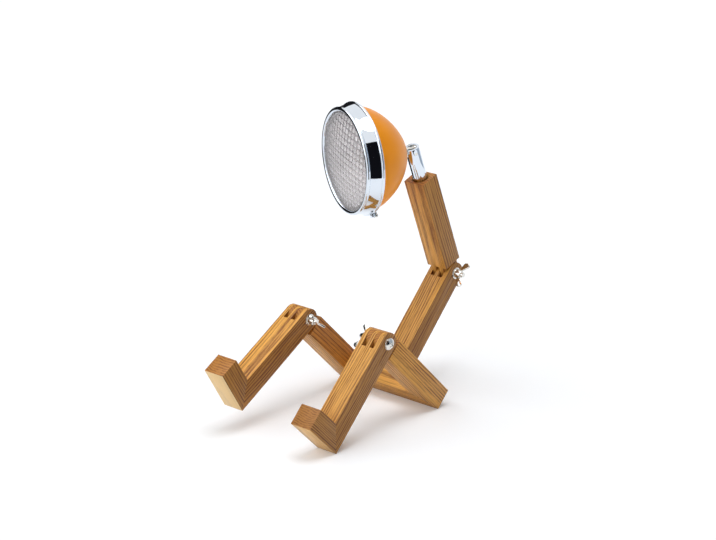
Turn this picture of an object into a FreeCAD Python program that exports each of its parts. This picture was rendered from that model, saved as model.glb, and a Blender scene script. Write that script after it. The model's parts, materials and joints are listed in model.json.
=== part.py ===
import FreeCAD, Part
import math
import os

# A seated wooden figure whose head is a round metal lamp.
# Millimetres, +Z up, the figure faces -Y and its left side is +X.
# The origin is the middle of the seat edge, the line on which the pelvis rests.

# Wooden bars
bar_width = 25.0
bar_depth = 22.0
hip_width = 130.0
thigh_length = 116.0
shin_length = 117.0
foot_length = 50.0
lower_torso_length = 108.0
upper_torso_length = 116.0

# Seated pose
thigh_slope = 45.3
right_knee_angle = 104.6
hip_lean = 1.2
waist_bend = 64.9
swivel_angle = -23.6
tilt_angle = 17.2

# Finger joints
finger_clearance = 0.1
joint_gap = 1.5
hip_knuckle_radius = 9.5
hip_joint_gap = 0.8
hip_tenon_thickness = 13.0
hip_tenon_depth = 15.0
glue_room = 0.05

# Bolts, washers and nuts
bolt_radius = 2.5
pin_clearance = 0.05
bolt_head_radius = 5.75
bolt_head_height = 3.4
bolt_head_edge = 1.0
cross_recess_length = 6.0
cross_recess_width = 1.3
cross_recess_depth = 1.6
washer_radius = 6.0
washer_thickness = 1.0
seat_gap = 0.05
bolt_tail = 2.5
wing_hub_radius = 4.6
wing_hub_top_radius = 3.9
wing_hub_height = 7.0
wing_span = 24.4
wing_ear_radius = 3.7
wing_thickness = 2.2
wing_lift = 3.8
wing_root = 1.0
wing_crotch = 6.4
waist_wing_angle = -128.0
left_knee_wing_angle = 47.0
right_knee_wing_angle = -41.0
lock_nut_flats = 8.0
lock_nut_height = 5.0
lock_nut_tail = 1.0

# Dowels
pelvis_dowel_radius = 3.0
pelvis_dowel_length = 22.0
foot_dowel_radius = 2.5
foot_dowel_length = 16.0
dowel_spacing = 10.0
dowel_clearance = 0.05
dowel_end_room = 0.5

# Neck
neck_radius = 7.25
neck_bore_radius = 5.0
neck_showing = 36.5
neck_depth = 40.0
neck_clearance = 0.05
neck_counterbore_radius = 8.6
neck_counterbore_depth = 4.0
neck_bottom_room = 1.0
neck_slot_depth = 34.0
tilt_pivot_drop = 5.0
tilt_pin_radius = 1.5
tilt_washer_radius = 3.2
tilt_washer_thickness = 1.75
tongue_thickness = 4.0
tongue_height = 9.0
tongue_slot_clearance = 0.15
neck_groove_depth = 1.2
neck_groove_width = 4.4
neck_groove_level = 24.0
grub_screw_radius = 2.0
grub_screw_clearance = 0.2
grub_socket_radius = 1.0
grub_socket_depth = 2.0

# Head
head_axis_offset = 1.9
apex_distance = 10.9
shell_depth = 48.4
shell_radius = 53.0
shell_wall = 1.2
shell_fullness = 1.63
shell_seat_radius = 7.0
shell_ledge_width = 3.4
bowl_curve_points = 9
rim_overhang = 4.1
bead_radius = 1.8
rim_depth = 18.9
lip_overhang = 0.8
lip_radius = 2.2
band_wall = 1.1
lens_thickness = 2.8
lens_dome = 4.4
lens_edge_width = 3.2
lens_side_clearance = 0.35
gasket_thickness = 2.0
gasket_width = 3.4
reflector_wall = 0.8
reflector_room = 12.4
reflector_skirt_clearance = 0.3
reflector_seat_width = 2.4
mirror_curve_points = 7
socket_radius = 11.0
socket_clearance = 0.1
socket_flange_radius = 13.2
socket_flange_thickness = 2.0
socket_front_length = 4.0
socket_back_length = 4.6
capsule_radius = 8.0
capsule_length = 24.0
capsule_plug_radius = 5.0
capsule_plug_depth = 5.0
capsule_plug_room = 0.5
collar_radius = 6.0
collar_thickness = 1.6
stud_radius = 3.0
stud_clearance = 0.05
stud_washer_radius = 6.0
stud_washer_thickness = 1.0
stud_nut_flats = 10.0
stud_nut_height = 5.0
stud_tail = 1.5
grommet_distance = 30.0
grommet_direction = 190.0
grommet_bore_radius = 2.75
grommet_neck_radius = 4.0
grommet_flange_radius = 5.5
grommet_flange_thickness = 1.6
grommet_clearance = 0.3
lead_radius = 0.9
lead_spacing = 3.2
lead_drop = 6.5
lead_bend_radius = 2.0
lead_approach = 9.0
clip_direction = -54.0
clip_width = 7.0
clip_thickness = 1.6
clip_room = 0.15
clip_reach = 2.8
lug_length = 4.0
lug_width = 5.6
clip_screw_radius = 1.0
clip_screw_head_radius = 1.9
clip_screw_head_height = 1.4
clip_screw_length = 5.0
clip_screw_end_room = 0.5
clip_screw_slot_width = 0.7
clip_screw_slot_depth = 0.7

# Sizes that follow from the ones above
half_width = bar_width / 2
half_depth = bar_depth / 2
finger = bar_width / 5
leg_middle = (hip_width - bar_width) / 2
shoulder = half_depth + joint_gap
hip_shoulder = hip_knuckle_radius + hip_joint_gap
hip_knuckle_rise = half_depth + hip_shoulder
X_AXIS = FreeCAD.Vector(1, 0, 0)
Z_AXIS = FreeCAD.Vector(0, 0, 1)


def vector(x, y, z):
    return FreeCAD.Vector(x, y, z)


def bar_place(y, z, angle):
    """Frame whose Z axis runs along a bar that points at this angle above +Y."""
    return FreeCAD.Placement(vector(0, y, z), FreeCAD.Rotation(X_AXIS, angle - 90))


def along(angle, length):
    turn = math.radians(angle)
    return length * math.cos(turn), length * math.sin(turn)


def moved(shape, placement):
    result = shape.copy()
    result.Placement = placement.multiply(shape.Placement)
    return result


def shifted(shape, x=0.0, y=0.0, z=0.0):
    return moved(shape, FreeCAD.Placement(vector(x, y, z), FreeCAD.Rotation()))


def box(x0, x1, y0, y1, z0, z1):
    return Part.makeBox(x1 - x0, y1 - y0, z1 - z0, vector(x0, y0, z0))


def rod(radius, start, end):
    """Cylinder between two points."""
    return Part.makeCylinder(radius, (end - start).Length, start, end - start)


def x_rod(radius, x0, x1):
    return rod(radius, vector(x0, 0, 0), vector(x1, 0, 0))


def ring_x(outer, inner, x0, x1):
    return x_rod(outer, x0, x1).cut(x_rod(inner, x0 - 1, x1 + 1))


def prism(points, direction):
    """Straight-sided solid: a closed outline pushed along a direction."""
    corners = [vector(*point) for point in points]
    outline = Part.makePolygon(corners + [corners[0]])
    return Part.Face(outline).extrude(vector(*direction))


def turned(edges):
    """Solid of revolution about Z from edges in the XZ plane."""
    wire = Part.Wire(Part.__sortEdges__(edges))
    return Part.Face(wire).revolve(vector(0, 0, 0), Z_AXIS, 360)


def turned_outline(points):
    corners = [vector(r, 0, z) for r, z in points]
    outline = Part.makePolygon(corners + [corners[0]])
    return Part.Face(outline).revolve(vector(0, 0, 0), Z_AXIS, 360)


def line(a, b):
    return Part.makeLine(vector(a[0], 0, a[1]), vector(b[0], 0, b[1]))


def arc(a, middle, b):
    return Part.Arc(vector(a[0], 0, a[1]), vector(middle[0], 0, middle[1]), vector(b[0], 0, b[1])).toShape()


def dome(edge_radius, edge_level, rise):
    """Round arc from the top of a dome on the Z axis down to its edge."""
    radius = (edge_radius ** 2 + rise ** 2) / (2 * abs(rise))
    half = math.asin(edge_radius / radius) / 2
    drop = math.copysign(radius * (1 - math.cos(half)), rise)
    top = edge_level + rise
    return arc((0, top), (radius * math.sin(half), top - drop), (edge_radius, edge_level))


# Finger joints: the pivot is at the origin and the bar runs along +Z

def slot_middles():
    return [-finger, finger]


def slotted_end(length, radius=half_depth, gap=joint_gap):
    """Three tines with round ends and two slots between them."""
    body = box(-half_width, half_width, -radius, radius, 0, length)
    body = body.fuse(x_rod(radius, -half_width, half_width)).removeSplitter()
    for middle in slot_middles():
        slot = box(middle - finger / 2, middle + finger / 2, -bar_depth, bar_depth, -bar_depth, radius + gap)
        body = body.cut(slot)
    return body.cut(x_rod(bolt_radius + pin_clearance, -bar_width, bar_width))


def tongued_end(length, radius=half_depth, gap=joint_gap):
    """Two tongues with round ends in front of a full-width shoulder."""
    body = box(-half_width, half_width, -half_depth, half_depth, radius + gap, length)
    half_tongue = finger / 2 - finger_clearance
    for middle in slot_middles():
        stem = box(middle - half_tongue, middle + half_tongue, -radius, radius, 0, radius + gap)
        stem = stem.fuse(x_rod(radius, middle - half_tongue, middle + half_tongue))
        body = body.fuse(stem)
    return body.removeSplitter().cut(x_rod(bolt_radius + pin_clearance, -bar_width, bar_width))


def far_end(shape, length):
    """Turn an end round so that it closes a bar of this length."""
    return moved(shape, FreeCAD.Placement(vector(0, 0, length), FreeCAD.Rotation(X_AXIS, 180)))


# Fasteners: the bolt's axis is X, its head outside -X and its nut towards +X

def pan_bolt(grip, tail):
    edge = bolt_head_edge
    outline = [
        line((0, 0), (bolt_head_radius, 0)),
        line((bolt_head_radius, 0), (bolt_head_radius, -edge)),
        dome(bolt_head_radius, -edge, edge - bolt_head_height),
        line((0, -bolt_head_height), (0, 0)),
    ]
    head = turned(outline)
    for angle in (0, 90):
        half = cross_recess_length / 2
        cut_box = box(-half, half, -cross_recess_width / 2, cross_recess_width / 2,
                      -bolt_head_height, -bolt_head_height + cross_recess_depth)
        head = head.cut(moved(cut_box, FreeCAD.Placement(vector(0, 0, 0), FreeCAD.Rotation(Z_AXIS, angle))))
    shank = rod(bolt_radius, vector(0, 0, 0), vector(0, 0, grip + tail))
    bolt = head.fuse(shank).removeSplitter()
    return moved(bolt, FreeCAD.Placement(vector(0, 0, 0), FreeCAD.Rotation(vector(0, 1, 0), 90)))


def clamp_bolt(nut_height, tail):
    """Bolt, two washers and the place of the nut for one bar's width of fingers."""
    start = -half_width - washer_thickness
    bolt = shifted(pan_bolt(bar_width + 2 * washer_thickness + seat_gap + nut_height, tail), start)
    bore = bolt_radius + pin_clearance
    washers = Part.makeCompound([
        ring_x(washer_radius, bore, start, -half_width),
        ring_x(washer_radius, bore, half_width, half_width + washer_thickness),
    ])
    nut_start = half_width + washer_thickness + seat_gap
    return bolt, washers, nut_start


def wing_nut(start, angle):
    """Wing nut on the X axis, its wings turned by an angle from the frame's Y."""
    hub = Part.makeCone(wing_hub_radius, wing_hub_top_radius, wing_hub_height, vector(0, 0, 0), Z_AXIS)
    ear_middle = wing_span / 2 - wing_ear_radius
    ear_height = wing_lift + wing_ear_radius
    ear = [
        line((bolt_radius, wing_root), (ear_middle, wing_lift)),
        arc((ear_middle, wing_lift), (wing_span / 2, ear_height), (ear_middle, ear_height + wing_ear_radius)),
        line((ear_middle, ear_height + wing_ear_radius), (wing_hub_top_radius, wing_crotch)),
        line((wing_hub_top_radius, wing_crotch), (bolt_radius, wing_crotch)),
        line((bolt_radius, wing_crotch), (bolt_radius, wing_root)),
    ]
    plate = Part.Face(Part.Wire(Part.__sortEdges__(ear))).extrude(vector(0, wing_thickness, 0))
    plate = shifted(plate, 0, -wing_thickness / 2)
    for turn in (0, 180):
        hub = hub.fuse(moved(plate, FreeCAD.Placement(vector(0, 0, 0), FreeCAD.Rotation(Z_AXIS, turn))))
    hub = hub.removeSplitter()
    hub = hub.cut(rod(bolt_radius + pin_clearance, vector(0, 0, -1), vector(0, 0, wing_hub_height + 1)))
    turn = FreeCAD.Placement(vector(0, 0, 0), FreeCAD.Rotation(X_AXIS, angle))
    lying = FreeCAD.Placement(vector(start, 0, 0), FreeCAD.Rotation(vector(0, 1, 0), 90))
    spin = FreeCAD.Placement(vector(0, 0, 0), FreeCAD.Rotation(Z_AXIS, 90))
    return moved(hub, turn.multiply(lying).multiply(spin))


def hex_prism(flats, height):
    corner = flats / math.sqrt(3)
    points = [(*along(60 * i, corner), 0) for i in range(6)]
    return prism(points, (0, 0, height))


def mirrored_x(shape):
    return shape.mirror(vector(0, 0, 0), X_AXIS)


# Places of the joints in the YZ plane

thigh_angle = -thigh_slope
rise_angle = 90 - thigh_slope
lower_angle = rise_angle + hip_lean
upper_angle = lower_angle + waist_bend


def add(*pairs):
    return sum(pair[0] for pair in pairs), sum(pair[1] for pair in pairs)


knee_place = add(along(rise_angle, half_depth), along(thigh_angle, -thigh_length))
hip_place = add(
    knee_place, along(thigh_angle, thigh_length - half_width), along(rise_angle, hip_knuckle_rise))
waist_place = add(hip_place, along(lower_angle, lower_torso_length))


def resting_shin_angle():
    """Angle at which the left heel's edge comes down to the level of the seat edge."""
    reach = math.hypot(shin_length, half_depth)
    return -180 + math.degrees(math.asin(knee_place[1] / reach) - math.atan2(half_depth, shin_length))


left_shin_angle = resting_shin_angle()
right_shin_angle = thigh_angle - right_knee_angle

thigh_frame = bar_place(*knee_place, thigh_angle)
hip_frame = bar_place(*hip_place, rise_angle)
lower_frame = bar_place(*hip_place, lower_angle)
waist_frame = bar_place(*waist_place, lower_angle)
upper_frame = bar_place(*waist_place, upper_angle)
left_frame = bar_place(*knee_place, left_shin_angle)
right_frame = bar_place(*knee_place, right_shin_angle)
neck_pivot_level = upper_torso_length + neck_showing - tilt_pivot_drop
neck_frame = upper_frame.multiply(
    FreeCAD.Placement(vector(0, 0, neck_pivot_level), FreeCAD.Rotation(Z_AXIS, swivel_angle)))
head_frame = neck_frame.multiply(
    FreeCAD.Placement(vector(0, 0, 0), FreeCAD.Rotation(X_AXIS, 90 - tilt_angle)))


# Pelvis: two thighs and a rail between them, mitred at the back corners

def mitre_dowels(radius, length):
    """Dowels square to the two mitres, in the thighs' frame."""
    dowels = []
    for side in (-1, 1):
        for y in (-dowel_spacing / 2, dowel_spacing / 2):
            middle = vector(side * leg_middle, y, thigh_length - half_width)
            half = vector(side * length / 2, 0, -length / 2) * math.sqrt(0.5)
            dowels.append(rod(radius, middle - half, middle + half))
    return dowels


def pelvis_dowel_holes():
    holes = mitre_dowels(pelvis_dowel_radius + dowel_clearance, pelvis_dowel_length + 2 * dowel_end_room)
    return Part.makeCompound(holes)


def thigh(side):
    outer = hip_width / 2
    inner = outer - bar_width
    body = shifted(tongued_end(thigh_length), leg_middle)
    waste = prism(
        [(inner - 1, -bar_depth, thigh_length - bar_width - 1),
         (outer + 1, -bar_depth, thigh_length + 1),
         (inner - 1, -bar_depth, thigh_length + 1)],
        (0, 2 * bar_depth, 0))
    body = body.cut(waste)
    if side < 0:
        body = mirrored_x(body)
    return body.cut(pelvis_dowel_holes())


def hip_rail():
    outer = hip_width / 2
    inner = outer - bar_width
    front = thigh_length - bar_width
    body = prism(
        [(-outer, -half_depth, thigh_length), (outer, -half_depth, thigh_length),
         (inner, -half_depth, front), (-inner, -half_depth, front)],
        (0, bar_depth, 0))
    middle = thigh_length - half_width
    half_thickness = hip_tenon_thickness / 2 + glue_room
    mortise = box(-half_width - glue_room, half_width + glue_room,
                  -half_depth, -half_depth + hip_tenon_depth + dowel_end_room,
                  middle - half_thickness, middle + half_thickness)
    return body.cut(mortise).cut(pelvis_dowel_holes())


def hip_block():
    """Slotted block, its tenon let into the top of the rail."""
    body = slotted_end(hip_shoulder, hip_knuckle_radius, hip_joint_gap)
    half_thickness = hip_tenon_thickness / 2
    tenon = box(-half_width, half_width, -half_thickness, half_thickness,
                hip_shoulder, hip_shoulder + hip_tenon_depth)
    return far_end(body.fuse(tenon).removeSplitter(), 0)


# Legs: a shin with a foot mitred to its lower end, in the frame of the knee

def foot_dowel_rods(radius, length):
    dowels = []
    for x in (-dowel_spacing / 2, dowel_spacing / 2):
        middle = vector(x, 0, shin_length - half_depth)
        half = vector(0, length / 2, length / 2) * math.sqrt(0.5)
        dowels.append(rod(radius, middle - half, middle + half))
    return dowels


def foot_dowel_holes():
    return Part.makeCompound(
        foot_dowel_rods(foot_dowel_radius + dowel_clearance, foot_dowel_length + 2 * dowel_end_room))


def shin():
    body = slotted_end(shin_length)
    waste = prism(
        [(-bar_width, -half_depth - 1, shin_length + 1),
         (-bar_width, half_depth + 1, shin_length - bar_depth - 1),
         (-bar_width, half_depth + 1, shin_length + 1)],
        (2 * bar_width, 0, 0))
    return body.cut(waste).cut(foot_dowel_holes())


def foot():
    body = prism(
        [(-half_width, -half_depth, shin_length),
         (-half_width, half_depth, shin_length - bar_depth),
         (-half_width, foot_length - half_depth, shin_length - bar_depth),
         (-half_width, foot_length - half_depth, shin_length)],
        (bar_width, 0, 0))
    return body.cut(foot_dowel_holes())


def leg(side, shin_angle, wing_angle):
    """Pieces of one leg, centred on its own bar and then moved out to its side."""
    bolt, washers, nut_start = clamp_bolt(wing_hub_height, bolt_tail)
    nut = wing_nut(nut_start, wing_angle - shin_angle + 90)
    hardware = [bolt, washers, nut]
    if side > 0:
        hardware = [mirrored_x(piece) for piece in hardware]
    dowels = Part.makeCompound(foot_dowel_rods(foot_dowel_radius, foot_dowel_length))
    return [shifted(piece, side * leg_middle) for piece in [shin(), foot(), dowels] + hardware]


# Torso

def lower_torso():
    half_length = lower_torso_length / 2
    bottom = tongued_end(half_length, hip_knuckle_radius, hip_joint_gap)
    top = far_end(slotted_end(half_length), lower_torso_length)
    return bottom.fuse(top).removeSplitter()


def upper_torso():
    top = upper_torso_length
    body = tongued_end(top)
    hole = rod(neck_radius + neck_clearance, vector(0, 0, top - neck_depth - neck_bottom_room), vector(0, 0, top + 1))
    counterbore = rod(neck_counterbore_radius, vector(0, 0, top - neck_counterbore_depth), vector(0, 0, top + 1))
    level = top - neck_groove_level
    screw_hole = rod(grub_screw_radius + pin_clearance, vector(0, 0, level), vector(0, bar_depth, level))
    return body.cut(hole).cut(counterbore).cut(screw_hole)


def neck_grub_screw():
    level = upper_torso_length - neck_groove_level
    tip = neck_radius - neck_groove_depth + grub_screw_clearance
    tail = half_depth - glue_room
    screw = rod(grub_screw_radius, vector(0, tip, level), vector(0, tail, level))
    socket = rod(grub_socket_radius, vector(0, tail - grub_socket_depth, level), vector(0, tail + 1, level))
    return screw.cut(socket)


# Neck, in the frame of the tilt pivot, the slot towards -Y

def neck_tube():
    top = tilt_pivot_drop
    bottom = top - neck_showing - neck_depth
    tube = rod(neck_radius, vector(0, 0, bottom), vector(0, 0, top))
    tube = tube.cut(rod(neck_bore_radius, vector(0, 0, bottom - 1), vector(0, 0, top + 1)))
    half_slot = tongue_thickness / 2 + tongue_slot_clearance
    tube = tube.cut(box(-half_slot, half_slot, -bar_depth, 0, top - neck_slot_depth, top + 1))
    level = top - neck_showing - neck_groove_level
    low = vector(0, 0, level - neck_groove_width / 2)
    high = vector(0, 0, level + neck_groove_width / 2)
    groove = rod(neck_radius + 1, low, high).cut(rod(neck_radius - neck_groove_depth, low, high))
    tube = tube.cut(groove)
    return tube.cut(x_rod(tilt_pin_radius + pin_clearance, -bar_width, bar_width))


def tilt_pin():
    half = math.sqrt(neck_radius ** 2 - tilt_pin_radius ** 2) - seat_gap
    return x_rod(tilt_pin_radius, -half, half)


def tilt_washers():
    start = tongue_thickness / 2 + seat_gap
    bore = tilt_pin_radius + pin_clearance
    washer = ring_x(tilt_washer_radius, bore, start, start + tilt_washer_thickness)
    return Part.makeCompound([washer, mirrored_x(washer)])


# Head, in a frame whose Z axis is the line of sight of the lamp

shell_mouth = apex_distance + shell_depth
rim_outer_radius = shell_radius + rim_overhang
lip_outer_radius = shell_radius + lip_overhang
reflector_depth = shell_depth - reflector_room
lip_middle_radius = lip_outer_radius - lip_radius
lip_level = shell_mouth + rim_depth - lip_radius
bead_middle_radius = rim_outer_radius - bead_radius
lens_front = lip_level - lip_radius
lens_radius = lip_middle_radius - lens_side_clearance
gasket_front = lens_front - lens_thickness
reflector_front = gasket_front - gasket_thickness
reflector_mouth_radius = lens_radius - lens_edge_width - 2 * reflector_seat_width
reflector_outer_radius = lens_radius - reflector_skirt_clearance
reflector_apex = reflector_front - reflector_depth
reflector_focus = reflector_mouth_radius ** 2 / (4 * reflector_depth)
seat_radius = socket_radius + socket_clearance + reflector_seat_width
reflector_seat_level = reflector_apex + seat_radius ** 2 / (4 * reflector_focus)


def on_axis(shape):
    """Lift a piece that was turned about Z to the axis of the head."""
    return moved(shape, FreeCAD.Placement(vector(0, head_axis_offset, 0), FreeCAD.Rotation()))


def bowl_depth(radius, depth):
    """Depth of the full curve whose flat seat lies at the given depth."""
    return depth / (1 - (shell_seat_radius / radius) ** shell_fullness) ** (1 / shell_fullness)


def bowl_level(r, radius, depth):
    return shell_mouth - bowl_depth(radius, depth) * (1 - (r / radius) ** shell_fullness) ** (1 / shell_fullness)


def bowl_curve(radius, depth):
    """Smooth curve from the mouth of the bowl to the rim of its flat seat."""
    last = math.acos((shell_seat_radius / radius) ** (shell_fullness / 2))
    points = []
    for i in range(bowl_curve_points):
        turn = last * i / (bowl_curve_points - 1)
        r = radius * math.cos(turn) ** (2 / shell_fullness)
        drop = bowl_depth(radius, depth) * math.sin(turn) ** (2 / shell_fullness)
        points.append(vector(r, 0, shell_mouth - drop))
    curve = Part.BSplineCurve()
    curve.interpolate(points)
    return curve.toShape()


def bowl_solid(radius, depth):
    seat = shell_mouth - depth
    edges = [
        bowl_curve(radius, depth),
        line((shell_seat_radius, seat), (0, seat)),
        line((0, seat), (0, shell_mouth)),
        line((0, shell_mouth), (radius, shell_mouth)),
    ]
    return turned(edges)


def grommet_place():
    """Frame on the outside of the shell, Z pointing straight out of it."""
    radius, depth, r = shell_radius, bowl_depth(shell_radius, shell_depth), grommet_distance
    share = (r / radius) ** shell_fullness
    slope = depth / radius * (1 - share) ** (1 / shell_fullness - 1) * (r / radius) ** (shell_fullness - 1)
    lean = math.degrees(math.atan2(slope, -1))
    spot = FreeCAD.Placement(
        vector(r, 0, bowl_level(r, radius, shell_depth)), FreeCAD.Rotation(vector(0, 1, 0), lean))
    return FreeCAD.Placement(vector(0, 0, 0), FreeCAD.Rotation(Z_AXIS, grommet_direction)).multiply(spot)


def head_shell():
    inner = bowl_solid(shell_radius - shell_wall, shell_depth - shell_wall)
    body = bowl_solid(shell_radius, shell_depth).cut(inner)
    ledge_outer = shell_radius - shell_wall / 2
    ledge_inner = shell_radius - shell_wall - shell_ledge_width
    ledge = turned_outline([
        (ledge_inner, shell_mouth), (ledge_outer, shell_mouth),
        (ledge_outer, shell_mouth - shell_wall), (ledge_inner, shell_mouth - shell_wall)])
    body = body.fuse(ledge)
    body = body.cut(rod(stud_radius + stud_clearance, vector(0, 0, 0), vector(0, 0, shell_mouth / 2)))
    hole = rod(grommet_neck_radius + pin_clearance, vector(0, 0, -lead_approach), vector(0, 0, lead_approach))
    return body.cut(moved(hole, grommet_place()))


def rim_ring():
    lip = Part.makeTorus(lip_middle_radius, lip_radius, vector(0, 0, lip_level), Z_AXIS)
    bead = Part.makeTorus(bead_middle_radius, bead_radius, vector(0, 0, shell_mouth), Z_AXIS)
    rise = lip_level - shell_mouth
    spread = bead_middle_radius - lip_middle_radius
    reach = math.hypot(rise, spread)
    side_r, side_z = rise / reach * band_wall / 2, spread / reach * band_wall / 2
    band = turned_outline([
        (lip_middle_radius - side_r, lip_level - side_z), (lip_middle_radius + side_r, lip_level + side_z),
        (bead_middle_radius + side_r, shell_mouth + side_z), (bead_middle_radius - side_r, shell_mouth - side_z)])
    ring = band.fuse(lip).fuse(bead)
    lug = box(bead_middle_radius, rim_outer_radius + clip_reach, -lug_width / 2, lug_width / 2,
              shell_mouth - bead_radius, shell_mouth - bead_radius + lug_length)
    screw_hole = clip_screw_bore(clip_screw_radius + pin_clearance)
    return ring.fuse(turned_to_clip(lug)).removeSplitter().cut(screw_hole)


def turned_to_clip(shape):
    return moved(shape, FreeCAD.Placement(vector(0, 0, 0), FreeCAD.Rotation(Z_AXIS, clip_direction)))


clip_back = shell_mouth - bead_radius - clip_thickness
clip_screw_distance = rim_outer_radius + clip_reach / 2


def clip_screw_bore(radius):
    start = vector(clip_screw_distance, 0, clip_back)
    end = vector(clip_screw_distance, 0, clip_back + clip_screw_length)
    return turned_to_clip(rod(radius, start, end))


def rim_clip():
    inner = shell_radius + clip_room
    tab = box(inner, rim_outer_radius + clip_reach, -clip_width / 2, clip_width / 2,
              clip_back, clip_back + clip_thickness)
    return turned_to_clip(tab).cut(clip_screw_bore(clip_screw_radius + pin_clearance))


def rim_clip_screw():
    head = rod(clip_screw_head_radius, vector(clip_screw_distance, 0, clip_back - clip_screw_head_height),
               vector(clip_screw_distance, 0, clip_back))
    slot = box(clip_screw_distance - bar_width, clip_screw_distance + bar_width,
               -clip_screw_slot_width / 2, clip_screw_slot_width / 2,
               clip_back - clip_screw_head_height, clip_back - clip_screw_head_height + clip_screw_slot_depth)
    shank_length = clip_screw_length - clip_screw_end_room
    shank = rod(clip_screw_radius, vector(clip_screw_distance, 0, clip_back),
                vector(clip_screw_distance, 0, clip_back + shank_length))
    return turned_to_clip(head.cut(slot).fuse(shank).removeSplitter())


def lens():
    edge = lens_radius - lens_edge_width
    back = lens_front - lens_thickness
    rise = lens_dome
    return turned([
        dome(edge, lens_front, rise),
        line((edge, lens_front), (lens_radius, lens_front)),
        line((lens_radius, lens_front), (lens_radius, back)),
        line((lens_radius, back), (edge, back)),
        dome(edge, back, rise),
        line((0, back + rise), (0, lens_front + rise)),
    ])


def lens_gasket():
    inner = lens_radius - gasket_width
    return turned_outline([
        (inner, reflector_front), (lens_radius, reflector_front),
        (lens_radius, gasket_front), (inner, gasket_front)])


def parabola_curve(lift):
    points = []
    for i in range(mirror_curve_points):
        r = seat_radius + (reflector_mouth_radius - seat_radius) * i / (mirror_curve_points - 1)
        points.append(vector(r, 0, reflector_apex + lift + r ** 2 / (4 * reflector_focus)))
    curve = Part.BSplineCurve()
    curve.interpolate(points)
    return curve.toShape()


def reflector():
    hole = socket_radius + socket_clearance
    skirt_inner = reflector_outer_radius - reflector_wall
    front, seat, wall = reflector_front, reflector_seat_level, reflector_wall
    return turned([
        parabola_curve(0),
        line((reflector_mouth_radius, front), (reflector_outer_radius, front)),
        line((reflector_outer_radius, front), (reflector_outer_radius, shell_mouth)),
        line((reflector_outer_radius, shell_mouth), (skirt_inner, shell_mouth)),
        line((skirt_inner, shell_mouth), (skirt_inner, front - wall)),
        line((skirt_inner, front - wall), (reflector_mouth_radius, front - wall)),
        parabola_curve(-wall),
        line((seat_radius, seat - wall), (hole, seat - wall)),
        line((hole, seat - wall), (hole, seat)),
        line((hole, seat), (seat_radius, seat)),
    ])


socket_seat = reflector_seat_level - reflector_wall
socket_front = reflector_seat_level + socket_front_length
socket_back = socket_seat - socket_flange_thickness - socket_back_length


def lamp_socket():
    body = rod(socket_radius, vector(0, 0, socket_back), vector(0, 0, socket_front))
    flange = rod(socket_flange_radius, vector(0, 0, socket_seat - socket_flange_thickness), vector(0, 0, socket_seat))
    plug_hole = rod(capsule_plug_radius + pin_clearance,
                    vector(0, 0, socket_front - capsule_plug_depth - capsule_plug_room), vector(0, 0, socket_front + 1))
    return body.fuse(flange).cut(plug_hole)


def lamp_capsule():
    """Light source with a round end, its plug pushed into the socket."""
    top = socket_front + capsule_length
    shoulder_level = top - capsule_radius
    slant = math.sqrt(0.5)
    return turned([
        line((0, socket_front - capsule_plug_depth), (capsule_plug_radius, socket_front - capsule_plug_depth)),
        line((capsule_plug_radius, socket_front - capsule_plug_depth), (capsule_plug_radius, socket_front)),
        line((capsule_plug_radius, socket_front), (capsule_radius, socket_front)),
        line((capsule_radius, socket_front), (capsule_radius, shoulder_level)),
        arc((capsule_radius, shoulder_level),
            (capsule_radius * slant, shoulder_level + capsule_radius * slant), (0, top)),
        line((0, top), (0, socket_front - capsule_plug_depth)),
    ])


def head_tongue():
    """Eye on the tilt pin, flat bar, collar outside the shell and threaded stud."""
    half = tongue_thickness / 2
    face = apex_distance - collar_thickness
    body = x_rod(tongue_height / 2, -half, half)
    body = body.fuse(box(-half, half, -tongue_height / 2, tongue_height / 2, 0, face))
    body = body.removeSplitter().cut(x_rod(tilt_pin_radius + pin_clearance, -bar_width, bar_width))
    middle = head_axis_offset
    stud_end = apex_distance + shell_wall + stud_washer_thickness + stud_nut_height + stud_tail
    collar = rod(collar_radius, vector(0, middle, face), vector(0, middle, apex_distance))
    stud = rod(stud_radius, vector(0, middle, face), vector(0, middle, stud_end))
    return body.fuse(collar).fuse(stud).removeSplitter()


def stud_washer():
    start = apex_distance + shell_wall
    low, high = vector(0, 0, start), vector(0, 0, start + stud_washer_thickness)
    return rod(stud_washer_radius, low, high).cut(rod(stud_radius + pin_clearance, low, high))


def stud_nut():
    start = apex_distance + shell_wall + stud_washer_thickness
    nut = hex_prism(stud_nut_flats, stud_nut_height)
    nut = nut.cut(rod(stud_radius + pin_clearance, vector(0, 0, -1), vector(0, 0, stud_nut_height + 1)))
    return shifted(nut, 0, 0, start)


def cord_grommet():
    """Rubber ring in the shell through which the lamp is wired."""
    inner_face = -shell_wall - grommet_clearance
    grommet = turned_outline([
        (grommet_bore_radius, grommet_flange_thickness),
        (grommet_flange_radius, grommet_flange_thickness),
        (grommet_flange_radius, 0),
        (grommet_neck_radius, 0),
        (grommet_neck_radius, inner_face),
        (grommet_flange_radius, inner_face),
        (grommet_flange_radius, inner_face - grommet_flange_thickness),
        (grommet_bore_radius, inner_face - grommet_flange_thickness)])
    return moved(grommet, grommet_place())


def bent_wire(points, radius, bend_radius):
    """Round wire along straight runs joined by tangent arcs."""
    edges = []
    start = points[0]
    for before, corner, after in zip(points, points[1:], points[2:]):
        back = (before - corner).normalize()
        ahead = (after - corner).normalize()
        half_angle = back.getAngle(ahead) / 2
        reach = bend_radius / math.tan(half_angle)
        inward = (back + ahead).normalize()
        first, last = corner + back * reach, corner + ahead * reach
        middle = corner + inward * (bend_radius / math.sin(half_angle) - bend_radius)
        edges.append(Part.makeLine(start, first))
        edges.append(Part.Arc(first, middle, last).toShape())
        start = last
    edges.append(Part.makeLine(start, points[-1]))
    section = Part.Wire([Part.makeCircle(radius, points[0], points[1] - points[0])])
    return Part.Wire(edges).makePipeShell([section], True, False)


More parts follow.
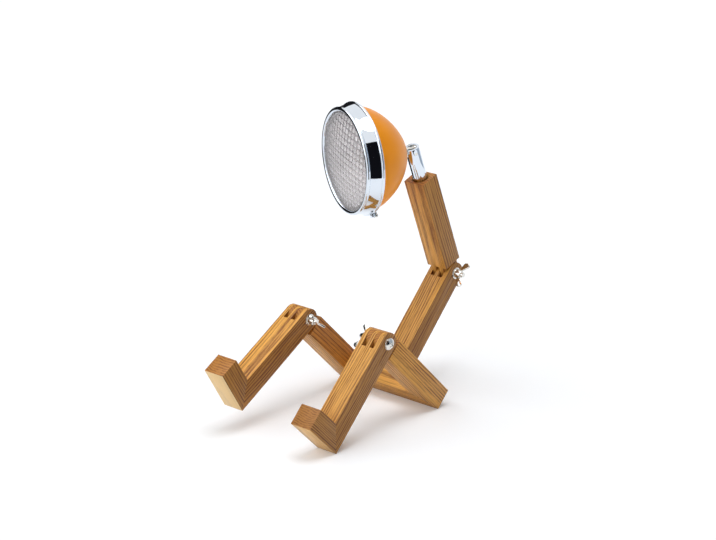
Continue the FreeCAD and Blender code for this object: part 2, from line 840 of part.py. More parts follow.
def supply_leads():
    """Two insulated wires from the back of the socket into the grommet's bore."""
    place = grommet_place()
    exit_point = place.multVec(vector(0, 0, -grommet_clearance))
    approach = place.multVec(vector(0, 0, -lead_approach))
    aside = FreeCAD.Rotation(Z_AXIS, grommet_direction).multVec(vector(0, lead_spacing / 2, 0))
    wires = []
    for offset in (aside, aside * -1):
        route = [vector(0, 0, socket_back), vector(0, 0, socket_back - lead_drop), approach, exit_point]
        wires.append(bent_wire([point + offset for point in route], lead_radius, lead_bend_radius))
    return Part.makeCompound(wires)


def lock_nut(start):
    nut = hex_prism(lock_nut_flats, lock_nut_height)
    nut = nut.cut(rod(bolt_radius + pin_clearance, vector(0, 0, -1), vector(0, 0, lock_nut_height + 1)))
    return moved(nut, FreeCAD.Placement(vector(start, 0, 0), FreeCAD.Rotation(vector(0, 1, 0), 90)))


# Assembly

def pelvis_parts():
    bolt, washers, nut_start = clamp_bolt(lock_nut_height, lock_nut_tail)
    in_thigh_frame = {
        "thigh_left": thigh(1),
        "thigh_right": thigh(-1),
        "hip_rail": hip_rail(),
        "pelvis_dowels": Part.makeCompound(mitre_dowels(pelvis_dowel_radius, pelvis_dowel_length)),
    }
    in_hip_frame = {
        "hip_block": hip_block(),
        "hip_bolt": bolt,
        "hip_washers": washers,
        "hip_lock_nut": lock_nut(nut_start),
    }
    placed = {name: moved(shape, thigh_frame) for name, shape in in_thigh_frame.items()}
    placed.update({name: moved(shape, hip_frame) for name, shape in in_hip_frame.items()})
    return placed


def leg_parts(word, side, frame, shin_angle, wing_angle):
    names = ["shin", "foot", "foot_dowels", "knee_bolt", "knee_washers", "knee_wing_nut"]
    pieces = leg(side, shin_angle, wing_angle)
    return {name + "_" + word: moved(piece, frame) for name, piece in zip(names, pieces)}


def torso_parts():
    bolt, washers, nut_start = clamp_bolt(wing_hub_height, bolt_tail)
    return {
        "lower_torso": moved(lower_torso(), lower_frame),
        "waist_bolt": moved(bolt, waist_frame),
        "waist_washers": moved(washers, waist_frame),
        "waist_wing_nut": moved(wing_nut(nut_start, waist_wing_angle - lower_angle + 90), waist_frame),
        "upper_torso": moved(upper_torso(), upper_frame),
        "neck_grub_screw": moved(neck_grub_screw(), upper_frame),
    }


def neck_parts():
    pieces = {"neck_tube": neck_tube(), "tilt_pin": tilt_pin(), "tilt_washers": tilt_washers()}
    return {name: moved(piece, neck_frame) for name, piece in pieces.items()}


def head_parts():
    turned_pieces = {
        "head_shell": head_shell(),
        "rim_ring": rim_ring(),
        "rim_clip": rim_clip(),
        "rim_clip_screw": rim_clip_screw(),
        "lens": lens(),
        "lens_gasket": lens_gasket(),
        "reflector": reflector(),
        "lamp_socket": lamp_socket(),
        "lamp_capsule": lamp_capsule(),
        "stud_washer": stud_washer(),
        "stud_nut": stud_nut(),
        "cord_grommet": cord_grommet(),
        "supply_leads": supply_leads(),
    }
    placed = {name: moved(on_axis(piece), head_frame) for name, piece in turned_pieces.items()}
    placed["head_tongue"] = moved(head_tongue(), head_frame)
    return placed


def all_parts():
    parts = pelvis_parts()
    parts.update(leg_parts("left", 1, left_frame, left_shin_angle, left_knee_wing_angle))
    parts.update(leg_parts("right", -1, right_frame, right_shin_angle, right_knee_wing_angle))
    parts.update(torso_parts())
    parts.update(neck_parts())
    parts.update(head_parts())
    return parts


os.makedirs("parts", exist_ok=True)
for name, shape in all_parts().items():
    shape.exportStep("parts/" + name + ".step")
    box_size = shape.BoundBox
    print(name, len(shape.Solids), shape.isValid(), round(shape.Volume, 1),
          [round(v, 1) for v in (box_size.XMin, box_size.XMax, box_size.YMin, box_size.YMax, box_size.ZMin, box_size.ZMax)])
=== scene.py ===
import json
import math
import bpy
import bmesh
from mathutils import Matrix, Vector


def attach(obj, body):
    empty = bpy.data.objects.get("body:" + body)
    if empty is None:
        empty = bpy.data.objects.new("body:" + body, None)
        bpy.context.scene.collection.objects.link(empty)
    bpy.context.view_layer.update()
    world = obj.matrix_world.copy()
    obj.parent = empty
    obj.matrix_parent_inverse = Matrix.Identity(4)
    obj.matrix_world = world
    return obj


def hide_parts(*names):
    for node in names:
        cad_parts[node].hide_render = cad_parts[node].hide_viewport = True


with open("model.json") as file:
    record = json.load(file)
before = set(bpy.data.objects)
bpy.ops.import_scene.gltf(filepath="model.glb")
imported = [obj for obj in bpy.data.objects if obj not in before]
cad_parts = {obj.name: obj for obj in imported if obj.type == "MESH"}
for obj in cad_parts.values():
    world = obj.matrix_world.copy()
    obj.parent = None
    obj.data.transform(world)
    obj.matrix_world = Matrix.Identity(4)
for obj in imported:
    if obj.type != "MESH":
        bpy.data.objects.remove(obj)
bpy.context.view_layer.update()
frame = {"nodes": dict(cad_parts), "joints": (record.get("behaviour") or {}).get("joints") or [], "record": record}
record = frame["record"]
mm = 0.001

slotOf = {row["node"]: row["material_slot"] for row in record["subparts"]}
bodyOf = {node: body for body, nodes in record["behaviour"]["bodies"].items() for node in nodes}
pivotOf = {joint["name"]: Vector(joint["pos_m"]) for joint in frame["joints"]}
axisOf = {joint["name"]: Vector(joint["axis"]) for joint in frame["joints"]}


# Places: each frame has its Z axis along the piece, as the wood grain runs

pose = {
    "thigh": -45.3,          # degrees above +Y
    "shinLeft": -135.244,
    "shinRight": -149.9,
    "lowerTorso": 45.9,
    "upperTorso": 110.8,
    "legMiddle": 52.5,       # mm from the middle plane
}


def barFrame(point, degrees):
    return Matrix.Translation(point) @ Matrix.Rotation(math.radians(degrees - 90), 4, "X")


legOut = Vector((pose["legMiddle"] * mm, 0, 0))
kneePoint = Vector((0, pivotOf["knee_left"].y, pivotOf["knee_left"].z))
thighFrame = barFrame(kneePoint, pose["thigh"])
shinLeftFrame = barFrame(kneePoint + legOut, pose["shinLeft"])
shinRightFrame = barFrame(kneePoint - legOut, pose["shinRight"])
lowerFrame = barFrame(pivotOf["hip"], pose["lowerTorso"])
upperFrame = barFrame(pivotOf["waist"], pose["upperTorso"])
tiltPoint = pivotOf["head_tilt"]
headLook = Vector((-0.38244, -0.92334, -0.03442)).normalized()
headSide = -axisOf["head_tilt"].normalized()
headTurn = Matrix((headSide, headLook.cross(headSide), headLook)).transposed()
headFrame = Matrix.Translation(tiltPoint) @ headTurn.to_4x4()


# Shader maths

class Value:                              # a socket that can stand in a sum
    def __init__(self, paint, socket):
        self.paint = paint
        self.socket = socket

    def __add__(self, other):
        return self.paint.maths("ADD", self, other)

    def __sub__(self, other):
        return self.paint.maths("SUBTRACT", self, other)

    def __rsub__(self, other):
        return self.paint.maths("SUBTRACT", other, self)

    def __mul__(self, other):
        return self.paint.maths("MULTIPLY", self, other)

    def __truediv__(self, other):
        return self.paint.maths("DIVIDE", self, other)

    def __rtruediv__(self, other):
        return self.paint.maths("DIVIDE", other, self)

    def __pow__(self, other):
        return self.paint.maths("POWER", self, other)

    __radd__ = __add__
    __rmul__ = __mul__


class Paint:                              # a material, or the world, and the nodes in it
    def __init__(self, owner):
        owner.use_nodes = True
        self.owner = owner
        self.tree = owner.node_tree
        self.tree.nodes.clear()

    def node(self, kind, settings, inputs, output=0):
        made = self.tree.nodes.new(kind)
        for key, value in settings.items():
            if key == "stops":
                ramp = made.color_ramp
                while len(ramp.elements) < len(value):
                    ramp.elements.new(0.5)
                for element, (place, colour) in zip(ramp.elements, value):
                    element.position = place
                    element.color = colour if len(colour) == 4 else (*colour, 1)
            else:
                setattr(made, key, value)
        for key, value in inputs.items():
            if isinstance(value, Value):
                self.tree.links.new(value.socket, made.inputs[key])
            else:
                made.inputs[key].default_value = value
        return Value(self, made.outputs[output])

    def maths(self, operation, *terms):
        return self.node("ShaderNodeMath", {"operation": operation}, dict(enumerate(terms)))

    def clamp(self, value, low=0.0, high=1.0):
        return self.maths("MINIMUM", self.maths("MAXIMUM", value, low), high)

    def mix(self, share, first, second, blend="MIX"):
        return self.node("ShaderNodeMix", {"data_type": "RGBA", "blend_type": blend},
                         {0: share, 6: first, 7: second}, 2)

    def place(self, pieceFrame=Matrix.Identity(4)):      # points of the piece, in mm
        objectSpace = self.node("ShaderNodeTexCoord", {}, {}, "Object")
        return self.node("ShaderNodeMapping", {"vector_type": "TEXTURE"}, {
            "Vector": objectSpace, "Location": pieceFrame.to_translation(),
            "Rotation": Vector(pieceFrame.to_euler("XYZ")), "Scale": (mm, mm, mm)})

    def stretched(self, points, x, y, z):
        return self.node("ShaderNodeVectorMath", {"operation": "MULTIPLY"}, {0: points, 1: (x, y, z)})

    def noise(self, points, scale=1.0, detail=2.0, roughness=0.5):
        return self.node("ShaderNodeTexNoise", {}, {
            "Vector": points, "Scale": scale, "Detail": detail, "Roughness": roughness})

    def split(self, points):
        apart = self.node("ShaderNodeSeparateXYZ", {}, {0: points})
        outputs = apart.socket.node.outputs
        return [Value(self, outputs[i]) for i in range(3)]

    def bump(self, height, distance, strength):
        return self.node("ShaderNodeBump", {}, {
            "Height": height, "Distance": distance, "Strength": strength})

    def finish(self, inputs):
        return self.output(self.node("ShaderNodeBsdfPrincipled", {}, inputs))

    def output(self, surface, kind="ShaderNodeOutputMaterial"):
        end = self.tree.nodes.new(kind)
        self.tree.links.new(surface.socket, end.inputs["Surface"])
        return self.owner


def newPaint(name):
    return Paint(bpy.data.materials.new(name))


def srgb(*shown):                         # a colour as a picture shows it, 0 to 255
    def linear(c):
        return ((c / 255 + 0.055) / 1.055) ** 2.4 if c > 10 else c / 255 / 12.92
    return tuple(linear(c) for c in shown) + (1,)


# Camera, floor and light

camera = {
    "place": (1.28861, -1.44680, 0.77629),
    "right": (0.73816, 0.67456, -0.00934),
    "up": (-0.20618, 0.23877, 0.94893),
    "back": (0.64234, -0.69854, 0.31533),
    "lens": 102.8,
}
light = {
    "world": 0.24,
    "suns": [             # name, strength, apparent width in degrees, where it comes from
        ("frontSun", 1.95, 85, (-0.42, -0.62, 0.66)), ("topSun", 1.25, 34, (0.12, 0.06, 1.0))],
    "floorColour": (0.88, 0.90, 0.93, 1), "floorLift": 0.13, "floorSize": 14.0,
}

lensData = bpy.data.cameras.new("camera")
lensData.lens = camera["lens"]
lensData.sensor_width = 36
cameraObject = bpy.data.objects.new("camera", lensData)
bpy.context.scene.collection.objects.link(cameraObject)
turn = Matrix((camera["right"], camera["up"], camera["back"])).transposed()
cameraObject.matrix_world = Matrix.Translation(camera["place"]) @ turn.to_4x4()
bpy.context.scene.camera = cameraObject
bpy.context.scene.view_settings.view_transform = "Standard"

for name, strength, width, cameFrom in light["suns"]:
    sunData = bpy.data.lights.new(name, "SUN")
    sunData.energy, sunData.angle = strength, math.radians(width)
    sunObject = bpy.data.objects.new(name, sunData)
    bpy.context.scene.collection.objects.link(sunObject)
    sunObject.rotation_euler = Vector(cameFrom).to_track_quat("Z", "Y").to_euler()


def seenDirectly(paint):                  # 1 for the camera and for what metal and glass show
    rays = paint.node("ShaderNodeLightPath", {}, {})
    outputs = rays.socket.node.outputs
    direct = [Value(paint, outputs[name]) for name in ("Is Camera Ray", "Is Glossy Ray", "Is Transmission Ray")]
    return paint.clamp(direct[0] + direct[1] + direct[2])


def makeWorld():
    paint = Paint(bpy.data.worlds.new("studio"))
    strength = seenDirectly(paint) * (1 - light["world"]) + light["world"]
    back = paint.node("ShaderNodeBackground", {}, {"Color": (1, 1, 1, 1), "Strength": strength})
    bpy.context.scene.world = paint.output(back, "ShaderNodeOutputWorld")


def makeFloor():
    paint = newPaint("paleFloor")
    matt = paint.node("ShaderNodeBsdfDiffuse", {}, {"Color": light["floorColour"]})
    glow = paint.node("ShaderNodeEmission", {}, {"Strength": seenDirectly(paint) * light["floorLift"]})
    both = paint.node("ShaderNodeAddShader", {}, {0: matt, 1: glow})
    mesh = bpy.data.meshes.new("floor")
    shape = bmesh.new()
    bmesh.ops.create_grid(shape, x_segments=1, y_segments=1, size=light["floorSize"])
    shape.to_mesh(mesh)
    shape.free()
    mesh.materials.append(paint.output(both))
    floor = bpy.data.objects.new("floor", mesh)
    bpy.context.scene.collection.objects.link(floor)


cards = [    # what the chrome shows: degrees round from -Y towards +X, then metres
    {"name": "darkSideCard", "azimuth": 64, "distance": 0.45, "low": 0.025, "high": 0.70,
     "width": 0.36, "colour": (0.006, 0.006, 0.008, 1)},
    {"name": "darkLeftCard", "azimuth": -80, "distance": 0.6, "low": 0.003, "high": 0.62,
     "width": 1.75, "colour": (0.012, 0.012, 0.014, 1)},
    {"name": "greyRearCard", "azimuth": 128, "distance": 1.1, "low": 0.02, "high": 1.1,
     "width": 1.5, "colour": (0.40, 0.46, 0.54, 1)},
]


def addCard(card):                        # seen only in polished metal and glass
    paint = newPaint(card["name"])
    surface = paint.node("ShaderNodeEmission", {}, {"Color": card["colour"], "Strength": 1.0})
    turned = math.radians(card["azimuth"])
    upright = Matrix.Rotation(turned, 3, "Z") @ Matrix.Rotation(math.radians(90), 3, "X")
    shape = bmesh.new()
    bmesh.ops.create_grid(shape, x_segments=1, y_segments=1, size=0.5)
    bmesh.ops.scale(shape, verts=shape.verts, vec=(card["width"], card["high"] - card["low"], 1))
    bmesh.ops.rotate(shape, verts=shape.verts, matrix=upright)
    middle = (math.sin(turned) * card["distance"], -math.cos(turned) * card["distance"],
              (card["low"] + card["high"]) / 2)
    bmesh.ops.translate(shape, verts=shape.verts, vec=middle)
    mesh = bpy.data.meshes.new(card["name"])
    shape.to_mesh(mesh)
    shape.free()
    mesh.materials.append(paint.output(surface))
    cardObject = bpy.data.objects.new(card["name"], mesh)
    bpy.context.scene.collection.objects.link(cardObject)
    for rays in ("camera", "diffuse", "transmission", "volume_scatter", "shadow"):
        setattr(cardObject, "visible_" + rays, False)


makeWorld()
makeFloor()
for card in cards:
    addCard(card)
print("camera, light and floor are set")


# Materials

wood = {
    "pale": srgb(222, 163, 76), "dark": srgb(126, 72, 24), "pore": srgb(84, 44, 16),
    # side: a painted shade multiplied into the faces turned along ±X, as the studio light leaves them
    "end": srgb(196, 130, 58), "side": (0.66, 0.60, 0.62), "sole": srgb(240, 208, 152),
    "ringWander": 1.7,
    "roughness": 0.46,
}


def makeWood(name, pieceFrame, pith, shift, tone=1.0, spacing=2.7, endTone=0.8,
             side=wood["side"], sole=0.0):           # spacing in mm between growth rings
    paint = newPaint(name)
    points = paint.place(pieceFrame)
    moved = paint.node("ShaderNodeVectorMath", {"operation": "ADD"}, {0: points, 1: (0, 0, shift)})
    wander = paint.noise(paint.stretched(moved, 0.05, 0.05, 0.009), 1.0, 1.0) - 0.5
    ripple = paint.noise(paint.stretched(moved, 0.30, 0.30, 0.020), 1.0, 2.0) - 0.5
    x, y, z = paint.split(points)
    across, upward = x - pith[0], y - pith[1]
    distance = paint.maths("SQRT", across * across + upward * upward)
    rings = (distance + wander * (wood["ringWander"] * 4) + ripple * 1.6) / spacing
    phase = paint.maths("FRACT", rings)
    line = paint.node("ShaderNodeValToRGB", {"stops": [
        (0.0, (0.55,) * 3), (0.06, (1.0,) * 3), (0.26, (0.72,) * 3), (0.50, (0.12,) * 3),
        (0.86, (0.0,) * 3), (1.0, (0.50,) * 3)]}, {0: phase})
    each = paint.noise(paint.stretched(moved, 0.22, 0.22, 0.006), 1.0, 1.0)
    line = line * paint.clamp(each * 2.8 - 0.60, 0.22, 1.0)
    fibre = paint.noise(paint.stretched(moved, 3.4, 3.4, 0.10), 1.0, 3.0, 0.6)
    streak = paint.noise(paint.stretched(moved, 0.9, 0.9, 0.025), 1.0, 2.0)
    pores = paint.noise(paint.stretched(moved, 2.6, 2.6, 0.16), 1.0, 1.0)
    pores = paint.clamp((pores - 0.60) * 9.0) * paint.clamp(line * 1.4 + 0.12)
    darkness = paint.clamp(line * 0.85 + (fibre - 0.5) * 1.1 + (streak - 0.5) * 1.5 + 0.10)
    pale = tuple(c * tone for c in wood["pale"][:3]) + (1,)
    dark = tuple(c * tone for c in wood["dark"][:3]) + (1,)
    colour = paint.mix(darkness, pale, dark)
    colour = paint.mix(pores * 0.75, colour, wood["pore"])
    facing = paint.node("ShaderNodeTexCoord", {}, {}, "Normal")
    grainWay = pieceFrame.to_3x3() @ Vector((0, 0, 1))
    onEnd = paint.node("ShaderNodeVectorMath", {"operation": "DOT_PRODUCT"}, {0: facing, 1: grainWay}, "Value")
    onEnd = paint.clamp(paint.maths("ABSOLUTE", onEnd) * 2.5 - 1.2)
    endColour = paint.mix(paint.clamp(line * 0.8 + (pores + fibre - 0.5) * 0.5), wood["end"], wood["dark"])
    endColour = paint.mix(1.0, endColour, (endTone, endTone * 0.97, endTone * 0.92, 1), "MULTIPLY")
    colour = paint.mix(onEnd * 0.85, colour, endColour)
    # painted side shade: faces turned along ±X get the side tone multiplied into their colour
    sideways, *rest = paint.split(facing)
    paintedSideShadeMask = paint.clamp(paint.maths("ABSOLUTE", sideways) * 2.5 - 1.2)
    colour = paint.mix(paintedSideShadeMask, colour, (*side, 1), "MULTIPLY")
    if sole:                              # the worn sole of a foot is paler
        underfoot = paint.node("ShaderNodeVectorMath", {"operation": "DOT_PRODUCT"},
                               {0: facing, 1: pieceFrame.to_3x3() @ Vector((0, -1, 0))}, "Value")
        colour = paint.mix(paint.clamp(underfoot * 2.5 - 1.2) * sole, colour, wood["sole"])
    height = 0.5 - line * 0.35 - pores * 0.9 + (fibre - 0.5) * 0.5
    return paint.finish({
        "Base Color": colour, "Normal": paint.bump(height, 0.00010, 0.8),
        "Roughness": paint.clamp(wood["roughness"] + (fibre - 0.5) * 0.25 + pores * 0.2),
        "Specular IOR Level": 0.35, "Coat Weight": 0.05, "Coat Roughness": 0.30})


def makeMetal(name, colour, roughness, spread, scratch, bumpDistance, tint):
    paint = newPaint(name)
    points = paint.place()
    cloud = paint.noise(points, 0.12, 3.0)
    scuff = paint.noise(paint.stretched(points, 1.0, 0.35, 2.2), scratch, 4.0, 0.65)
    shade = paint.mix(paint.clamp(cloud * 1.6 - 0.3), tuple(c * (1 - tint) for c in colour[:3]) + (1,), colour)
    return paint.finish({
        "Base Color": shade, "Metallic": 1.0,
        "Roughness": paint.clamp(roughness + (cloud - 0.5) * spread + (scuff - 0.5) * spread, 0.02, 1.0),
        "Normal": paint.bump(scuff, bumpDistance, 0.5)})


enamel = {"colour": srgb(253, 158, 4), "deep": srgb(246, 148, 3), "roughness": 0.40, "coat": 0.10}


def makeEnamel():
    paint = newPaint("orangeEnamel")
    points = paint.place()
    cloud = paint.noise(points, 0.05, 2.0)
    peel = paint.noise(points, 1.4, 2.0)
    speck = paint.clamp((paint.noise(points, 2.2, 1.0) - 0.74) * 12)
    colour = paint.mix(paint.clamp(cloud * 1.4 - 0.2), enamel["deep"], enamel["colour"])
    colour = paint.mix(speck * 0.25, colour, srgb(170, 88, 12))
    return paint.finish({
        "Base Color": colour, "Roughness": paint.clamp(enamel["roughness"] + (peel - 0.5) * 0.12),
        "Coat Weight": enamel["coat"], "Coat Roughness": 0.14, "Specular IOR Level": 0.2,
        "Normal": paint.bump(peel, 0.00003, 0.35)})


def makePlain(name, colour, darker, roughness, **more):
    paint = newPaint(name)
    points = paint.place()
    grain = paint.noise(points, 0.6, 4.0, 0.6)
    inputs = {"Base Color": paint.mix(paint.clamp(grain * 1.5 - 0.25), darker, colour),
              "Roughness": paint.clamp(roughness + (grain - 0.5) * 0.2),
              "Normal": paint.bump(grain, 0.00005, 0.5)}
    inputs.update({key.replace("_", " "): value for key, value in more.items()})
    return paint.finish(inputs)


def makeLensGlass():
    paint = newPaint("pressedGlass")
    points = paint.place()
    swirl = paint.noise(points, 0.25, 3.0)
    return paint.finish({
        "Base Color": paint.mix(swirl, (0.76, 0.73, 0.735, 1), (0.86, 0.83, 0.835, 1)),
        "Roughness": paint.clamp(0.05 + swirl * 0.06), "IOR": 1.50, "Transmission Weight": 0.74,
        "Normal": paint.bump(swirl, 0.00004, 0.4)})


alongX = Matrix.Rotation(math.radians(90), 4, "Y")
acrossFoot = Matrix.Rotation(math.radians(-90), 4, "X")
woods = {    # node: material name, where its grain lies, pith in mm, shift along the grain, its own values; side is painted shade on the faces along ±X where below 1, and painted light where above 1
    "thigh_left": ("woodThighLeft", thighFrame @ Matrix.Translation(legOut), (34, 46), 0,
                   {"side": (1.05, 1.02, 0.92)}),
    "thigh_right": ("woodThighRight", thighFrame @ Matrix.Translation(-legOut), (-30, 52), 400,
                    {"side": (0.92, 0.74, 0.62)}),
    "hip_rail": ("woodRail", thighFrame @ alongX, (30, 22), 900, {"spacing": 3.4}),
    "hip_block": ("woodHipBlock", lowerFrame, (40, 30), 1300, {"tone": 0.96}),
    "shin_left": ("woodShinLeft", shinLeftFrame, (44, 38), 1700, {"spacing": 2.4}),
    "foot_left": ("woodFootLeft", shinLeftFrame @ acrossFoot, (10, 52), 2100,
                  {"tone": 0.96, "spacing": 2.3, "endTone": 0.62, "sole": 0.35}),
    "shin_right": ("woodShinRight", shinRightFrame, (4, 24), 2500,
                   {"tone": 1.16, "spacing": 3.0, "side": (0.58, 0.50, 0.46)}),
    "foot_right": ("woodFootRight", shinRightFrame @ acrossFoot, (14, 60), 2900, {"sole": 0.8}),
    "lower_torso": ("woodLowerTorso", lowerFrame, (48, 30), 3300, {"tone": 0.96, "spacing": 2.2}),
    "upper_torso": ("woodUpperTorso", upperFrame, (16, 44), 3700,
                    {"tone": 1.05, "spacing": 3.0, "side": (0.70, 0.66, 0.70)}),
}
finishes = {
    "oiled_wood": makeWood("woodDowels", thighFrame, (30, 30), 4100),
    "zinc_steel": makeMetal("zincPlate", srgb(234, 232, 226), 0.17, 0.10, 0.9, 0.00001, 0.14),
    "chrome_trim": makeMetal("polishedChrome", srgb(224, 231, 239), 0.045, 0.03, 0.9, 0.000004, 0.03),
    "orange_paint": makeEnamel(),
    "clear_glass": makeLensGlass(),
    "black_rubber": makePlain("blackRubber", (0.030, 0.030, 0.032, 1),
                              (0.016, 0.016, 0.017, 1), 0.62),
    "bright_aluminium": makeMetal("brightReflector", srgb(232, 232, 234), 0.16, 0.06, 2.0, 0.00001, 0.05),
    "white_socket": makePlain("socketPorcelain", srgb(236, 233, 224), srgb(214, 209, 198), 0.38),
    "frosted_lamp": makePlain("frostedGlass", srgb(250, 244, 230), srgb(235, 226, 206), 0.45,
                              Transmission_Weight=0.35),
    "lead_insulation": makePlain("leadInsulation", srgb(120, 72, 38), srgb(92, 52, 26), 0.5),
}
print("materials are made")


# Pieces

def finishPiece(name, shape, material, node, smoothAngle):      # the angle above which an edge stays crisp
    mesh = bpy.data.meshes.new(name)
    for face in shape.faces:
        face.smooth = True
    for edge in shape.edges:
        if len(edge.link_faces) == 2 and edge.calc_face_angle(0) > math.radians(smoothAngle):
            edge.smooth = False
    shape.to_mesh(mesh)
    shape.free()
    mesh.materials.append(material)
    piece = bpy.data.objects.new(name, mesh)
    bpy.context.scene.collection.objects.link(piece)
    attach(piece, bodyOf[node])
    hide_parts(node)


def mergedCopy(node, flat):          # a node's triangles joined, and its flat faces made whole
    shape = bmesh.new()
    shape.from_mesh(frame["nodes"][node].data)
    bmesh.ops.remove_doubles(shape, verts=shape.verts, dist=0.000002)
    if flat:
        bmesh.ops.dissolve_limit(shape, angle_limit=math.radians(0.4), verts=shape.verts, edges=shape.edges)
    return shape


def softenedNode(node, name, width, material):
    shape = mergedCopy(node, True)
    sharp = [edge for edge in shape.edges
             if len(edge.link_faces) == 2 and edge.calc_face_angle(0) > math.radians(30)]
    bmesh.ops.bevel(shape, geom=sharp, offset=width, offset_type="OFFSET", segments=2, profile=0.5,
                    affect="EDGES", clamp_overlap=True, material=-1, loop_slide=True)
    finishPiece(name, shape, material, node, 25)


woodRounding = 0.45 * mm
for node, (name, grain, pith, shift, values) in woods.items():
    material = makeWood(name, grain, pith, shift, **values)
    softenedNode(node, name + "Bar", woodRounding, material)
print("wooden bars are made")


def turnedShape(profile, steps, pieceFrame):      # a closed outline of (radius, level) spun about the frame's Z
    shape = bmesh.new()
    points = [shape.verts.new((r * mm, 0, z * mm)) for r, z in profile]
    edges = [shape.edges.new((points[i - 1], points[i])) for i in range(len(points))]
    bmesh.ops.spin(shape, geom=points + edges, axis=(0, 0, 1), cent=(0, 0, 0), steps=steps,
                   angle=math.tau, use_merge=True)
    bmesh.ops.remove_doubles(shape, verts=shape.verts, dist=0.0000005)
    bmesh.ops.recalc_face_normals(shape, faces=shape.faces)
    bmesh.ops.transform(shape, matrix=pieceFrame, verts=shape.verts)
    return shape


def arcPoints(centre, radius, start, end, count):
    turns = [math.radians(start + (end - start) * i / (count - 1)) for i in range(count)]
    return [(centre[0] + radius * math.cos(t), centre[1] + radius * math.sin(t)) for t in turns]


bowlRise = 1.9           # mm from the tilt pin up to the bowl's own axis
headAxis = headFrame @ Matrix.Translation((0, bowlRise * mm, 0))
rim = {                  # radius and level in mm, and the lug's way round in degrees
    "lip": (51.6, 73.75), "lipRadius": 2.2, "bead": (55.3, 59.3), "beadRadius": 1.75,
    "wall": 1.0, "bulge": 0.45, "bandSteps": 10, "steps": 160,
    "lugWay": -54, "lug": (4.2, 5.4, 3.9), "lugPlace": (57.6, 59.5),
}


def makeRim():
    lip, bead = rim["lip"], rim["bead"]
    slope = math.degrees(math.atan2(bead[1] - lip[1], bead[0] - lip[0]))
    outward = (math.cos(math.radians(slope + 90)), math.sin(math.radians(slope + 90)))
    outer, inner = [], []
    for i in range(1, rim["bandSteps"]):
        share = i / rim["bandSteps"]
        swell = rim["bulge"] * math.sin(math.pi * share)
        r, z = lip[0] + (bead[0] - lip[0]) * share, lip[1] + (bead[1] - lip[1]) * share
        for side, off in ((outer, swell + rim["wall"] / 2), (inner, swell - rim["wall"] / 2)):
            side.append((r + outward[0] * off, z + outward[1] * off))
    profile = arcPoints(lip, rim["lipRadius"], slope - 20, slope - 340, 26)
    profile += outer
    profile += arcPoints(bead, rim["beadRadius"], slope + 160, slope - 160, 20)
    profile += inner[::-1]
    shape = turnedShape(profile, rim["steps"], Matrix.Identity(4))
    before = set(shape.verts)
    bmesh.ops.create_cube(shape, size=1)
    lug = [v for v in shape.verts if v not in before]
    bmesh.ops.scale(shape, verts=lug, vec=[side * mm for side in rim["lug"]])
    bmesh.ops.bevel(shape, geom=[e for e in shape.edges if e.verts[0] in lug and e.verts[1] in lug],
                    offset=0.35 * mm, segments=2, profile=0.5, affect="EDGES", material=-1)
    lug = [v for v in shape.verts if v not in before]
    lugRadius, lugLevel = rim["lugPlace"]
    bmesh.ops.translate(shape, verts=lug, vec=(lugRadius * mm, 0, lugLevel * mm))
    bmesh.ops.rotate(shape, verts=lug, matrix=Matrix.Rotation(math.radians(rim["lugWay"]), 3, "Z"))
    bmesh.ops.transform(shape, matrix=headAxis, verts=shape.verts)
    finishPiece("chromeRim", shape, finishes["chrome_trim"], "rim_ring", 50)


glass = {                # mm, apart from the grid's cells
    "radius": 51.1, "front": 73.7, "back": 71.1, "rise": 4.3, "flatFrom": 47.8, "fade": 1.5,
    "cells": 168, "prismWide": 6.4, "prismHigh": 5.9, "relief": 1.2,
}


def makeLens():                           # pressed prisms in front, smooth behind
    shape = bmesh.new()
    limit = glass["radius"] * mm
    cell = 2 * limit / glass["cells"]
    bmesh.ops.create_grid(shape, x_segments=glass["cells"], y_segments=glass["cells"], size=limit)
    outside = [v for v in shape.verts if v.co.length > limit + cell * 0.5]
    bmesh.ops.delete(shape, geom=outside, context="VERTS")
    for v in shape.verts:
        if v.is_boundary or v.co.length > limit:
            v.co *= limit / v.co.length
    front = list(shape.verts)
    grown = bmesh.ops.extrude_face_region(shape, geom=shape.faces[:])
    back = [g for g in grown["geom"] if isinstance(g, bmesh.types.BMVert)]
    edge, rise = glass["flatFrom"], glass["rise"]
    ball = (edge ** 2 + rise ** 2) / (2 * rise)

    def domed(r):
        return max(0.0, math.sqrt(ball ** 2 - min(r, edge) ** 2) - (ball - rise))

    for v in front:
        x, y = v.co.x / mm, v.co.y / mm
        r = math.hypot(x, y)
        wave = math.sin(math.pi * x / glass["prismWide"]) * math.sin(math.pi * y / glass["prismHigh"])
        pillow = wave ** 2
        fade = min(1.0, max(0.0, (edge - r) / glass["fade"]))
        v.co.z = (glass["front"] + domed(r) - glass["relief"] * (1 - pillow) * fade) * mm
    for v in back:
        v.co.z = (glass["back"] + domed(math.hypot(v.co.x, v.co.y) / mm)) * mm
    bmesh.ops.recalc_face_normals(shape, faces=shape.faces)
    bmesh.ops.transform(shape, matrix=headAxis, verts=shape.verts)
    finishPiece("prismLens", shape, finishes["clear_glass"], "lens", 60)


makeRim()
makeLens()
for node, name in {"head_shell": "orangeBowl", "reflector": "brightReflector"}.items():
    finishPiece(name, mergedCopy(node, False), finishes[slotOf[node]], node, 35)
print("head is made")

wing = {                 # mm; start is from the middle of the bar to the nut's seat
    "span": 26.8, "earRadius": 4.0, "lift": 4.5, "thickness": 2.1, "root": 3.0, "rounding": 0.55,
    "start": 13.55, "rootHeight": 3.7, "rootNarrowing": 0.3,
    "hub": [(2.6, 0.0), (4.3, 0.0), (4.6, 0.3), (4.5, 2.0), (3.95, 6.3), (3.6, 6.9), (3.2, 7.0), (2.6, 7.0)],
}
wingNuts = {             # node: piece name, pivot, middle of its bar in mm, side it is on, turn in degrees
    "waist_wing_nut": ("waistWingNut", pivotOf["waist"], 0.0, 1, -128),
    "knee_wing_nut_left": ("kneeWingNutLeft", kneePoint, pose["legMiddle"], -1, 47),
    "knee_wing_nut_right": ("kneeWingNutRight", kneePoint, -pose["legMiddle"], 1, -41),
}


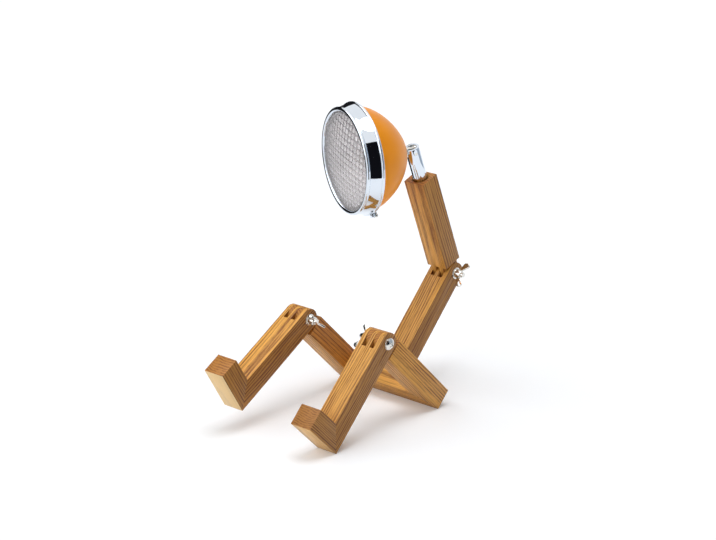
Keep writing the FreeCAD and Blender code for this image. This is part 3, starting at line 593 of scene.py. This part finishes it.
def makeWingNut(node, name, point, middle, way, degrees):
    shape = turnedShape(wing["hub"], 40, Matrix.Identity(4))
    hub = set(shape.verts)
    radius, span = wing["earRadius"], wing["span"] / 2
    height = wing["lift"] + radius
    bmesh.ops.create_circle(shape, cap_ends=True, segments=36, radius=radius)
    ear = [v for v in shape.verts if v not in hub]
    reach = span - radius - wing["root"]
    for v in ear:                         # the side towards the hub is drawn out into a neck
        x, z = v.co.x, v.co.y
        inward = max(0.0, -x / radius)
        v.co = (span - radius + (x if x > 0 else -inward * reach), -wing["thickness"] / 2,
                height + z * (1 - wing["rootNarrowing"] * inward) - inward * (height - wing["rootHeight"]))
    face = [f for f in shape.faces if f.verts[0] not in hub]
    grown = bmesh.ops.extrude_face_region(shape, geom=face)
    lifted = [g for g in grown["geom"] if isinstance(g, bmesh.types.BMVert)]
    bmesh.ops.translate(shape, verts=lifted, vec=(0, wing["thickness"], 0))
    bmesh.ops.recalc_face_normals(shape, faces=shape.faces)
    rimEdges = [e for e in shape.edges if e.verts[0] not in hub and e.verts[1] not in hub
                and len(e.link_faces) == 2 and e.calc_face_angle(0) > math.radians(60)]
    bmesh.ops.bevel(shape, geom=rimEdges, offset=wing["rounding"], segments=3, profile=0.5,
                    affect="EDGES", material=-1)
    ear = [v for v in shape.verts if v not in hub]
    ear += [g for g in shape.edges[:] + shape.faces[:] if not set(g.verts) & hub]
    copied = bmesh.ops.duplicate(shape, geom=ear)
    other = [g for g in copied["geom"] if isinstance(g, bmesh.types.BMVert)]
    bmesh.ops.rotate(shape, verts=other, matrix=Matrix.Rotation(math.pi, 3, "Z"))
    bmesh.ops.scale(shape, verts=[v for v in shape.verts if v not in hub], vec=(mm, mm, mm))
    along = Vector((0, math.cos(math.radians(degrees)), math.sin(math.radians(degrees))))
    out = Vector((way, 0, 0))
    place = Matrix((along, out.cross(along), out)).transposed().to_4x4()
    seat = point + Vector(((middle + way * wing["start"]) * mm, 0, 0))
    bmesh.ops.transform(shape, matrix=Matrix.Translation(seat) @ place, verts=shape.verts)
    finishPiece(name, shape, finishes["zinc_steel"], node, 40)


for node, facts in wingNuts.items():
    makeWingNut(node, *facts)

softMetal = {     # node: piece name, edge rounding in mm
    "hip_bolt": ("hipBolt", 0.25), "waist_bolt": ("waistBolt", 0.25),
    "knee_bolt_left": ("kneeBoltLeft", 0.25), "knee_bolt_right": ("kneeBoltRight", 0.25),
    "hip_washers": ("hipWashers", 0.18), "waist_washers": ("waistWashers", 0.18),
    "knee_washers_left": ("kneeWashersLeft", 0.18), "knee_washers_right": ("kneeWashersRight", 0.18),
    "hip_lock_nut": ("hipLockNut", 0.3), "neck_tube": ("neckTube", 0.22),
    "head_tongue": ("headTongue", 0.3), "rim_clip": ("rimClip", 0.3),
    "rim_clip_screw": ("rimClipScrew", 0.2), "tilt_washers": ("tiltWashers", 0.15),
    "cord_grommet": ("rubberGrommet", 0.3),
}
for node, (name, width) in softMetal.items():
    softenedNode(node, name, width * mm, finishes[slotOf[node]])
print("metal fittings are made")

for node, cadObject in frame["nodes"].items():
    cadObject.data.materials.clear()
    cadObject.data.materials.append(finishes[slotOf[node]])
